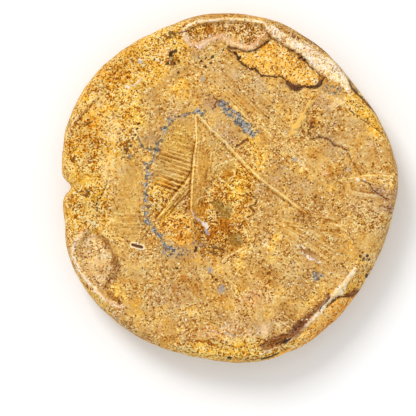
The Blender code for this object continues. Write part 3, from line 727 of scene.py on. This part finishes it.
def grainTree(material):
    tree = bpy.data.node_groups.new("stoneGrain", "GeometryNodeTree")
    face = tree.interface
    face.new_socket("Geometry", in_out="INPUT", socket_type="NodeSocketGeometry")
    for name in grain:
        face.new_socket(name, in_out="INPUT", socket_type="NodeSocketFloat")
    face.new_socket("Geometry", in_out="OUTPUT", socket_type="NodeSocketGeometry")
    make = NodeMaker(tree, "GeometryNodeInputPosition")
    given = {name: make.node("NodeGroupInput", out=name) for name in ("Geometry", *grain)}

    def field(name):
        return make.node("GeometryNodeInputNamedAttribute", {"data_type": "FLOAT"}, {0: name})

    gritty = make.share(field("grit"), -0.25, 0.35).most(make.share(field("crumbly"), -0.1, 0.4))
    gritty = gritty.most(make.share(field("orange"), -0.3, 0.5) * 0.8)
    amount = between(gritty, given["Plain Share"], 1) * (1 - 0.7 * make.share(field("cream"), -0.1, 0.2))
    facing = field("top").most(field("wall"))
    bumps = (make.noise(given["Grain Size"], given["Seed"]) - 0.5) * 2.0 * given["Grain Height"]
    holes = make.share(make.noise(given["Pit Size"], given["Seed"] + 7.0, 4.0), 0.56, 0.72)
    pits = holes * given["Pit Depth"]
    step = make.scaled(make.node("GeometryNodeInputNormal"), (bumps - pits) * amount * facing * mm)
    moved = make.node("GeometryNodeSetPosition", None, {"Geometry": given["Geometry"], "Offset": step})
    whole = make.node("GeometryNodeRealizeInstances", None, {"Geometry": moved})
    finished = make.node("GeometryNodeSetMaterial", None, {"Geometry": whole, "Material": material})
    make.node("NodeGroupOutput", None, {"Geometry": finished})
    return tree


def runNodes(mesh, name, tree, values):
    # a tree's result on a mesh, as a plain mesh of its own
    holder = bpy.data.objects.new(name, mesh)
    bpy.context.scene.collection.objects.link(holder)
    modifier = holder.modifiers.new(name, "NODES")
    modifier.node_group = tree
    for item in tree.interface.items_tree:
        if item.in_out == "INPUT" and item.name in values:
            modifier[item.identifier] = values[item.name]
    bpy.context.view_layer.update()
    ready = holder.evaluated_get(bpy.context.evaluated_depsgraph_get())
    result = bpy.data.meshes.new_from_object(ready)
    bpy.data.objects.remove(holder)
    piece = bpy.data.objects.new(name, result)
    bpy.context.scene.collection.objects.link(piece)
    return piece


# Five tones for each kind of ground, from its pits to its glints.
grounds = {
    "tan": [(150, 88, 16), (194, 142, 66), (215, 172, 99), (229, 194, 120), (247, 223, 161)],
    "bright": [(160, 90, 6), (212, 150, 50), (234, 184, 84), (246, 206, 112), (255, 230, 160)],
    "gold": [(156, 84, 2), (213, 144, 28), (240, 186, 68), (247, 207, 98), (254, 231, 162)],
    "plate": [(150, 94, 24), (194, 145, 68), (214, 172, 97), (229, 195, 114), (248, 225, 158)],
    "dusky": [(156, 96, 34), (190, 143, 76), (206, 166, 104), (222, 187, 126), (244, 216, 162)],
    "rust": [(116, 58, 2), (176, 106, 10), (210, 148, 46), (238, 186, 86), (254, 226, 156)],
    "orange": [(146, 78, 10), (218, 150, 48), (246, 189, 80), (251, 210, 112), (253, 238, 186)],
    "brown": [(128, 72, 14), (182, 118, 38), (214, 158, 70), (238, 196, 112), (255, 236, 186)],
    "cream": [(180, 116, 54), (230, 190, 126), (249, 230, 188), (253, 244, 219), (255, 254, 248)],
    # lip: the shell's pale rims, with painted highlight along the raised lips and ridges; crest: painted
    # highlight along the ridge tops.
    "lip": [(180, 112, 44), (234, 184, 110), (251, 224, 170), (254, 240, 204), (255, 252, 242)],
    "crest": [(176, 110, 24), (230, 174, 78), (251, 209, 116), (254, 226, 150), (255, 240, 194)],
    "pink": [(164, 100, 44), (218, 168, 110), (238, 198, 152), (248, 218, 178), (254, 240, 214)],
    "sandy": [(162, 102, 40), (211, 164, 94), (235, 198, 132), (248, 217, 152), (255, 236, 190)],
    "amber": [(164, 88, 12), (228, 150, 48), (249, 178, 72), (253, 200, 100), (255, 228, 156)],
}
groundStops = (0.0, 0.27, 0.5, 0.73, 1.0)

# How a ground comes in at its outline: the depths in mm where it starts and where it is whole, how
# far fine and coarse noise fray its edge, and its strength. The marks below have the same numbers.
groundEdges = {
    "plate": (-0.1, 0.25, 0.5),
    "orange": (-0.4, 0.4, 0.9),
    "brown": (-0.25, 0.35, 0.8),
    "pink": (-0.4, 0.4, 0.9),
    "sandy": (-0.6, 0.4, 0.9),
    "amber": (-0.2, 0.3, 0.6),
    "cream": (-0.12, 0.18, 0.5),
    # crest and lip: painted highlight along the raised ridges and lips
    "crest": (-0.1, 0.12, 0.2, 0.0, 0.9),
    "lip": (-0.1, 0.12, 0.8, 0.0, 0.85),
}

# Marks that lie under the flecks, the painted glints and the crust, and those that lie over them.
lowMarks = {
    "streak": (-0.2, 0.3, 0.5, 0.0, 0.7),
    "olive": (-0.3, 0.8, 1.0, 3.0, 0.65),
    "earth": (-0.8, 0.5, 1.6, 2.6, 0.95),
    "stain": (-0.5, 0.5, 0.0, 1.6, 0.95),
    "ember": (0.0, 0.8, 1.6, 4.0, 0.5),
}
highMarks = {
    "crustDark": (-0.1, 0.12, 1.2, 0.0, 0.8),
    "lilac": (-0.1, 0.12, 0.5, 0.0, 0.85),
    "vein": (-0.1, 0.12, 0.25, 0.0, 0.9),
    "chalk": (-0.1, 0.12, 0.8, 0.0, 0.85),
    "ash": (-0.1, 0.12, 2.2, 1.5, 0.7),
    "crack": (-0.12, 0.12, 0.9, 0.4, 0.88),
    "slit": (-0.1, 0.12, 0.5, 0.0, 0.9),
    "bark": (-0.1, 0.12, 1.0, 0.0, 0.85),
    "petal": (-0.1, 0.12, 0.0, 0.0, 0.6),
    "rustHole": (-0.1, 0.12, 0.1, 0.0, 0.95),
}
tones = {
    "streak": (250, 204, 108),
    "olive": (146, 110, 40),
    "ember": (190, 112, 44),
    "fleck": (56, 38, 22),
    "glint": (255, 244, 214),
    "crust": (150, 151, 158),
    "crustPale": (206, 200, 190),
    "crustDark": (84, 80, 80),
    "soot": (100, 54, 12),
    "whitish": (254, 220, 164),
    "lilac": (196, 184, 196),
    "vein": (255, 238, 172),
    "chalk": (250, 240, 232),
    "ash": (166, 162, 164),
    "crack": (88, 50, 32),
    "slit": (46, 32, 20),
    "bark": (100, 50, 20),
    "petal": (168, 118, 58),
    "rustHole": (104, 48, 20),
}

# What a tint turns the plain tan into.
tints = {
    "yellow": (228, 182, 88),
    "deep": (206, 146, 56),
    "purple": (176, 134, 98),
    "rosy": (221, 175, 121),
    "smoky": (196, 158, 100),
    "earth": (160, 108, 46),
    "stain": (144, 94, 50),
}

# Patches that come and go all over: place in the noise, length in mm, tint and strength.
drifts = [
    (35.0, 3.2, "deep", 0.8),
    (37.0, 2.6, "rosy", 0.7),
    (43.0, 2.4, "yellow", 0.8),
    (53.0, 1.8, "smoky", 0.8),
]

# Clouds of noise: length in mm, place in the noise, detail and roughness.
clouds = {
    "edge": (0.6, 3.0),
    "fray": (1.4, 5.0, 4.0, 0.7),
    "drift": (4.5, 6.0, 6.0, 0.72),
    "patchy": (5.0, 31.0, 7.0, 0.78),
    "quiet": (4.0, 33.0, 5.0, 0.65),
    "blobs": (4.0, 91.0),
    "clumps": (1.8, 61.0, 5.0, 0.75),
    "crumb": (0.6, 7.0, 4.0, 0.75),
    "dust": (0.28, 68.0, 0.0),
    "mottle": (2.0, 2.0, 5.0, 0.7),
    "crevice": (1.0, 73.0, 3.0, 0.65),
    "squiggle": (1.5, 71.0, 2.0, 0.5),
    "hue": (1.2, 95.0, 4.0, 0.8),
    "spread": (9.0, 97.0, 2.0),
    "lumps": (1.4, 81.0, 6.0, 0.6),
}

# Where a cloud starts to count, and where it counts in full.
spans = {
    "dusky": (0.05, 0.13),
    "bright": (-0.03, -0.12),
    "drift": (0.05, 0.22),
    "quiet": (-0.01, 0.06),
    "blobs": (-0.02, 0.06),
    "clumps": (-0.04, 0.2),
    "crevice": (0.04, 0.0),
    "squiggle": (0.028, 0.008),
    "hue": (-0.25, 0.25),
}

look = {
    "cells": (0.32, 0.7, 4.5),            # size of small and middle grains and of flakes, in mm
    "bend": (2.5, 2.0, 0.5),              # noise that bends the grains: its scale, detail and reach
    "tear": (0.7, 5.0, 3.0),              # and the flakes
    "smallGrain": 11.0,
    "dust": 0.8,
    "middleGrain": 2.2,
    "bigGrain": 3.9,
    "clumped": (0.34, 1.45),              # strength of the coarse grain between clumps, and in them
    "fineGrain": (0.62, 0.38, 1.3, 1.25, 0.4),     # on plain, smooth and rough ground, then its
    "coarseGrain": (0.2, 0.05, 1.0, 1.15, 0.15),   # level outside quiet patches, and in them
    "lively": (1.1, 0.3),                 # strength of crevices and squiggles there
    "rough": {"gold": 1.0, "rust": 1.0, "orange": 0.45, "brown": 0.85},
    "even": {"pink": 0.45, "lip": 0.5, "crest": 0.7, "cream": 0.35},     # share of the grain lost
    "lit": {"crest": 0.18, "lip": 0.2, "amber": 0.15},     # shade added: painted highlight on crests and lips, and a brighter tone on the amber facet
    "shade": 0.45,                        # of plain ground, between 0 and 1
    "mottle": 1.4,
    "mottled": (0.75, 0.4),               # how much the shade of plain and smooth ground drifts
    "broad": 0.8,
    "flakes": 0.16,
    "crevices": (0.06, 0.46),             # painted shade in the crevices between crumbs, on plain and rough ground
    "squiggles": (0.06, 0.41),
    "specks": ((0.09, 0.06, 0.75), (0.88, 0.92, 0.6)),    # which small grains are dark, and which are light as painted glints
    "warm": (1.09, 1.0, 0.76, 1.0),       # the hue swings between these
    "cool": (0.92, 1.0, 1.3, 1.0),
    "relief": (0.07, 0.22, 1.0),          # in mm: what shade lifts, lumps of smooth and rough ground
    "bump": 0.8,
    "roughness": (0.8, 0.2),              # and how much less of it the light grains have
    "shine": 0.15,
}


class PaintMaker(NodeMaker):
    # the kinds of nodes that the stone's paint needs
    def __init__(self, tree):
        super().__init__(tree, "ShaderNodeTexCoord", 3)
        self.edge, self.fray, self.drift = map(self.cloud, ("edge", "fray", "drift"))

    def field(self, name):
        return self.node("ShaderNodeAttribute", {"attribute_name": name}, out=2)

    def zone(self, name, ragged=2.4, low=-0.3, high=0.9, top=1.0):
        # an area that ends in ragged patches
        return self.share(self.field(name) + self.drift * ragged, low, high, top)

    def shown(self, name, low=-0.1, high=0.12, fine=0.0, coarse=0.0, top=1.0):
        # a finish inside its outline, with a frayed edge
        depth = self.field(name)
        if fine:
            depth = depth + self.edge * fine
        if coarse:
            depth = depth + self.fray * coarse
        return self.share(depth, low, high, top)

    def cloud(self, name):
        return self.noise(*clouds[name]) - 0.5

    def patches(self, name):
        return self.share(self.cloud(name), *spans[name])

    def threads(self, name):
        # thin lines, where a cloud passes through its middle
        return self.share(abs(self.cloud(name)), *spans[name])

    def warped(self, scale, detail, reach):
        # places pushed about by noise, so that grains lose their straight sides
        push = self.node("ShaderNodeTexNoise", None,
                         {"Vector": self.place, "Scale": scale, "Detail": detail}, 1)
        return self.node("ShaderNodeVectorMath", {"operation": "MULTIPLY_ADD"},
                         {0: push, 1: (reach, reach, reach), 2: self.place})

    def streaks(self, degrees, across, along):
        turned = self.node("ShaderNodeMapping", {"vector_type": "TEXTURE"},
                           {0: self.place, 2: (0, 0, math.radians(degrees)), 3: (along, across, across)})
        return self.noise(1.0, degrees, 2.0, 0.5, turned) - 0.5

    def cells(self, size, where):
        # grains of sand: a random shade for each, and a second number to pick a few of them by
        grains = self.node("ShaderNodeTexVoronoi", {"feature": "F1"}, {"Vector": where, "Scale": 1 / size}, 1)
        shades = self.node("ShaderNodeSeparateColor", None, {0: grains})
        picks = self.node("ShaderNodeSeparateColor", None, {0: grains}, 1)
        return shades - 0.5, picks

    def mix(self, amount, under, over):
        return self.node("ShaderNodeMix", {"data_type": "RGBA"}, {0: amount, 6: under, 7: over}, out=2)

    def times(self, ground, factor):
        return self.node("ShaderNodeVectorMath", {"operation": "MULTIPLY"}, {0: ground, 1: factor})

    def ramp(self, shade, name):
        stops = [(stop, paintOf(seen)) for stop, seen in zip(groundStops, grounds[name])]
        return self.node("ShaderNodeValToRGB", {"stops": stops}, {0: shade})

    def tint(self, amount, ground, name):
        ratio = ((part / base) ** 2.2 for part, base in zip(tints[name], grounds["tan"][2]))
        return self.times(ground, self.mix(amount, (1, 1, 1, 1), (*ratio, 1)))

    def lay(self, amount, ground, name):
        return self.mix(amount, ground, paintOf(tones[name]))


def findGrounds(make):
    # where each kind of ground shows, and how rough, smooth, polished or quiet the stone is
    zone, patchy = make.zone, make.cloud("patchy")
    edged = {name: make.shown(name, *edge) for name, edge in groundEdges.items()}
    masks = {
        "dusky": make.share(patchy + zone("dusky", top=0.12), *spans["dusky"]),
        "bright": make.share(patchy - zone("yellow", top=0.12), *spans["bright"]),
        "plate": edged["plate"],
        "gold": zone("grit", 1.6, -0.3, 0.3) * (1 - zone("smooth", 1.2, -0.2, 0.5, 0.9)),
        "rust": zone("rust", 5.0, -0.6, 1.0, 0.9) * (1 - zone("yellow", top=0.7)),
        **edged,
    }
    rough = zone("crumbly", 1.6, -0.2, 0.5)
    for name, roughness in look["rough"].items():
        rough = rough.most(masks[name] * roughness)
    make.masks = masks
    make.rough = (rough * (1 - 0.7 * masks["amber"])).most(make.field("wall"))
    make.smooth = masks["plate"].most(zone("smooth", top=0.7))
    make.dull = 1 - masks["cream"].most(make.shown("streak", -0.2, 0.3, 0.5))
    make.blobs = make.patches("blobs") * masks["rust"]
    make.clumps = make.patches("clumps")
    make.quiet = make.patches("quiet").most(zone("hushed", top=0.6))


def mixGrain(make):
    # the grain of the stone, with less of it on even, smooth and quiet ground
    masks = make.masks
    even = (1 - 0.7 * make.shown("streak", -0.2, 0.3)) * (1 - 0.7 * make.blobs)
    for name, lost in look["even"].items():
        even = even * (1 - lost * masks[name])
    rugged = make.rough * (1 - 0.5 * make.smooth)

    def amount(kind):
        plain, smooth, rough, loud, quiet = look[kind]
        ground = plain + (smooth - plain) * make.smooth + (rough - plain) * rugged
        return ground * even * between(make.quiet, loud, quiet)

    small, middle, crumb = make.small, make.middle, make.cloud("crumb")
    fine = small * small * small * look["smallGrain"] + make.cloud("dust") * look["dust"]
    coarse = crumb * (0.4 + 3.0 * abs(crumb)) * look["middleGrain"]
    coarse = (coarse + middle * middle * middle * look["bigGrain"]) * between(make.clumps, *look["clumped"])
    coarse = (coarse + make.mottle * look["mottle"]) * (1 - 0.7 * masks["orange"])
    return fine * amount("fineGrain") + coarse * amount("coarseGrain")


def shadeStone(make, grains, flakes):
    # 0 in the pits, 1 on the glints
    masks, rough, smooth, dull = make.masks, make.rough, make.smooth, make.dull
    shade = look["shade"] + grains + make.mottle * between(smooth, *look["mottled"])
    shade = shade + make.drift * look["broad"] + 0.03 * rough - 0.04 * smooth + flakes * look["flakes"] * dull
    dotted = between(make.clumps, 0.25, 1.0) * between(rough, 0.35, 1.0) * dull
    # the light grains are painted glints
    dark, light = (make.share(make.smallPick, *picked) for picked in look["specks"])
    shade = shade - dark * dotted + light * dotted
    lively = between(make.quiet, *look["lively"])
    # crevices between the crumbs are darkened: painted shade
    crevice = make.threads("crevice") * between(rough, *look["crevices"])
    shade = shade - crevice * make.clumps * lively * dull * (1 - 0.6 * masks["orange"])
    squiggle = make.threads("squiggle") * (between(rough, *look["squiggles"]) + 0.5 * masks["rust"])
    shade = shade + squiggle * lively * (1 - make.blobs) - 0.1 * make.blobs
    # crests and lips lifted as painted highlight; the amber facet is only made brighter
    for name, lift in look["lit"].items():
        shade = shade + lift * masks[name]
    for name, (degrees, across, along, strength, ovals) in scratches.items():
        shade = shade + make.zone(name, 1.2, -0.3, 0.5) * make.streaks(degrees, across, along) * strength
    shade = shade + make.zone("whitish", top=0.12) - make.zone("deep", top=0.08)
    # grooves and the feet of the layers are darkened: painted shade in these creases, and painted shadow
    # along the foot of each ridge and step
    return shade - make.shown("groove", fine=0.3, top=0.5) - make.shown("layer", fine=0.6, top=0.3)


def paintGrounds(make, shade, flakePick):
    ground = make.ramp(shade, "tan")
    for name, mask in make.masks.items():
        ground = make.mix(mask, ground, make.ramp(shade, name))
    for name in ("yellow", "deep", "purple", "rosy"):
        ground = make.tint(make.zone(name, top=0.7), ground, name)
    ground = make.tint(make.share(flakePick, 0.5, 0.9, 0.5), ground, "smoky")
    for layer, size, name, amount in drifts:
        drift = make.noise(size, layer, 5.0, 0.7) - 0.5
        ground = make.tint(make.share(drift, *spans["drift"], amount), ground, name)
    return make.times(ground, make.mix(make.patches("hue"), look["warm"], look["cool"]))


def layMarks(make, ground, marks):
    for name, edge in marks.items():
        lay = make.tint if name in tints else make.lay
        ground = lay(make.shown(name, *edge), ground, name)
    return ground


flecksAndGlints = {
    "gap": 1.2,
    "size": (0.26, 0.156),    # half of it in mm: at the frayed edge, and where the fleck is whole
    "frayed": 0.15,
    "strength": 0.85,
    "black": (0.42, 0.39),    # flecks that are picked below these are black, and above those white, as painted glints
    "white": (0.87, 0.89),
    "uneven": 0.8,
}


def layFlecksAndGlints(make, ground):
    # black flecks of the stone's own, and white dots that are painted glints
    cells = {"feature": "F1"}, {"Vector": make.bent, "Scale": 1 / flecksAndGlints["gap"]}
    away = make.node("ShaderNodeTexVoronoi", *cells) + make.edge * flecksAndGlints["frayed"]
    pick = make.node("ShaderNodeSeparateColor", None, {0: make.node("ShaderNodeTexVoronoi", *cells, 1)})
    pick = pick + make.cloud("spread") * flecksAndGlints["uneven"]
    outer, whole = (half / flecksAndGlints["gap"] for half in flecksAndGlints["size"])
    dots = make.share(away, outer, whole, flecksAndGlints["strength"]) * make.dull * (1 - 0.6 * make.smooth)
    ground = make.lay(dots * make.share(pick, *flecksAndGlints["black"]), ground, "fleck")
    return make.lay(dots * make.share(pick, *flecksAndGlints["white"]), ground, "glint")


def layCrust(make, ground):
    # blue-grey crust, soot, and ground mottled with grey grains
    share, zone, small = make.share, make.zone, make.small
    dark, pale = share(small, 0.1, 0.18), share(small, -0.3, -0.38)
    fringe = make.shown("crust", -0.6, -0.15, 1.2, 1.5) * share(make.middlePick, 0.6, 0.68, 0.8)
    ground = make.lay(fringe, ground, "crustDark")
    crust = make.lay(pale, make.lay(dark, paintOf(tones["crust"]), "crustDark"), "crustPale")
    inside = make.shown("crust", -0.08, 0.14, 1.2, 1.5)
    ground = make.mix(inside * share(make.middlePick, 0.12, 0.17, 0.94), ground, crust)
    ground = make.lay(zone("soot", 1.2, 0.0, 0.6) * share(make.middle, 0.0, 0.08, 0.85), ground, "soot")
    mottled = zone("greyMottle", 1.2, -0.1, 0.5)
    greys = {"crust": 0.25 * share(small, 0.0, 0.1), "crustDark": 0.9 * dark, "crustPale": 0.45 * pale}
    for name, grains in greys.items():
        ground = make.lay(mottled * grains, ground, name)
    return ground


def makeStone():
    material = bpy.data.materials.new("fossil_stone")
    material.use_nodes = True
    material.node_tree.nodes.clear()
    make = PaintMaker(material.node_tree)
    findGrounds(make)
    smallSize, middleSize, flakeSize = look["cells"]
    make.bent = make.warped(*look["bend"])
    make.small, make.smallPick = make.cells(smallSize, make.bent)
    make.middle, make.middlePick = make.cells(middleSize, make.bent)
    flakes, flakePick = make.cells(flakeSize, make.warped(*look["tear"]))
    make.mottle = make.cloud("mottle")
    grains = mixGrain(make)
    shade = shadeStone(make, grains, flakes)

    ground = paintGrounds(make, shade, flakePick)
    whitish = make.zone("whitish", top=0.6) * make.share(make.mottle, -0.1, 0.15)
    ground = layMarks(make, make.lay(whitish, ground, "whitish"), lowMarks)
    ground = layMarks(make, layCrust(make, layFlecksAndGlints(make, ground)), highMarks)

    lift, *lumpy = look["relief"]
    lumps = make.cloud("lumps") * between(make.rough, *lumpy) * between(make.dull, 0.2, 1.0)
    bump = make.node("ShaderNodeBump", None, {
        "Strength": look["bump"], "Distance": mm, "Height": shade * lift + lumps})
    roughness, polish = look["roughness"]
    shader = make.node("ShaderNodeBsdfPrincipled", None, {
        "Base Color": ground, "Roughness": roughness - polish * grains, "Normal": bump,
        "Specular IOR Level": look["shine"]})
    make.node("ShaderNodeOutputMaterial", None, {"Surface": shader})
    return material


def makeStage():
    floor = bpy.data.meshes.new("floor")
    half = light["floorSize"] / 2
    sheet = bmesh.new()
    bmesh.ops.create_grid(sheet, x_segments=1, y_segments=1, size=half)
    sheet.to_mesh(floor)
    sheet.free()
    item = bpy.data.objects.new("floor", floor)
    bpy.context.scene.collection.objects.link(item)
    paper = bpy.data.materials.new("floor_paper")
    paper.use_nodes = True
    surface = paper.node_tree.nodes["Principled BSDF"].inputs
    surface["Base Color"].default_value = light["floorTone"]
    surface["Roughness"].default_value = light["floorRoughness"]
    floor.materials.append(paper)

    sky = bpy.data.worlds.new("studio")
    sky.use_nodes = True
    glow = sky.node_tree.nodes["Background"].inputs
    glow["Color"].default_value = (1, 1, 1, 1)
    glow["Strength"].default_value = light["sky"]
    bpy.context.scene.world = sky

    lamp = bpy.data.lights.new("key", "AREA")
    lamp.energy = light["keyPower"]
    lamp.size = light["keySize"]
    key = bpy.data.objects.new("key", lamp)
    key.location = light["keyPlace"]
    key.rotation_euler = (-Vector(light["keyPlace"])).to_track_quat("-Z", "Y").to_euler()
    bpy.context.scene.collection.objects.link(key)
    bpy.context.scene.view_settings.view_transform = "Standard"


view = {
    "lens": 250.0,
    "sensor": 36.0,
    "frameWidth": 101.92,     # mm across at the height below
    "height": 10.5,
    "middle": (-5.34, -4.74),
}


def makeCamera():
    lens = bpy.data.cameras.new("camera")
    lens.lens = view["lens"]
    lens.sensor_width = view["sensor"]
    lens.clip_start = 0.01
    camera = bpy.data.objects.new("camera", lens)
    rise = view["frameWidth"] * view["lens"] / view["sensor"]
    camera.location = (view["middle"][0] * mm, view["middle"][1] * mm, (view["height"] + rise) * mm)
    bpy.context.scene.collection.objects.link(camera)
    bpy.context.scene.camera = camera


makeStage()
makeCamera()
print("stage and camera ready")
stone = makeStone()
print("stone ready:", len(stone.node_tree.nodes), "nodes")
shaped = makeDisc()
print("disc shaped:", len(shaped.vertices), "points")
fossil = runNodes(shaped, "fossil_disc", grainTree(stone), grain)
print("fossil ready:", len(fossil.data.polygons), "faces")
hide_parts("sand_dollar_fossil")
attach(fossil, "root")
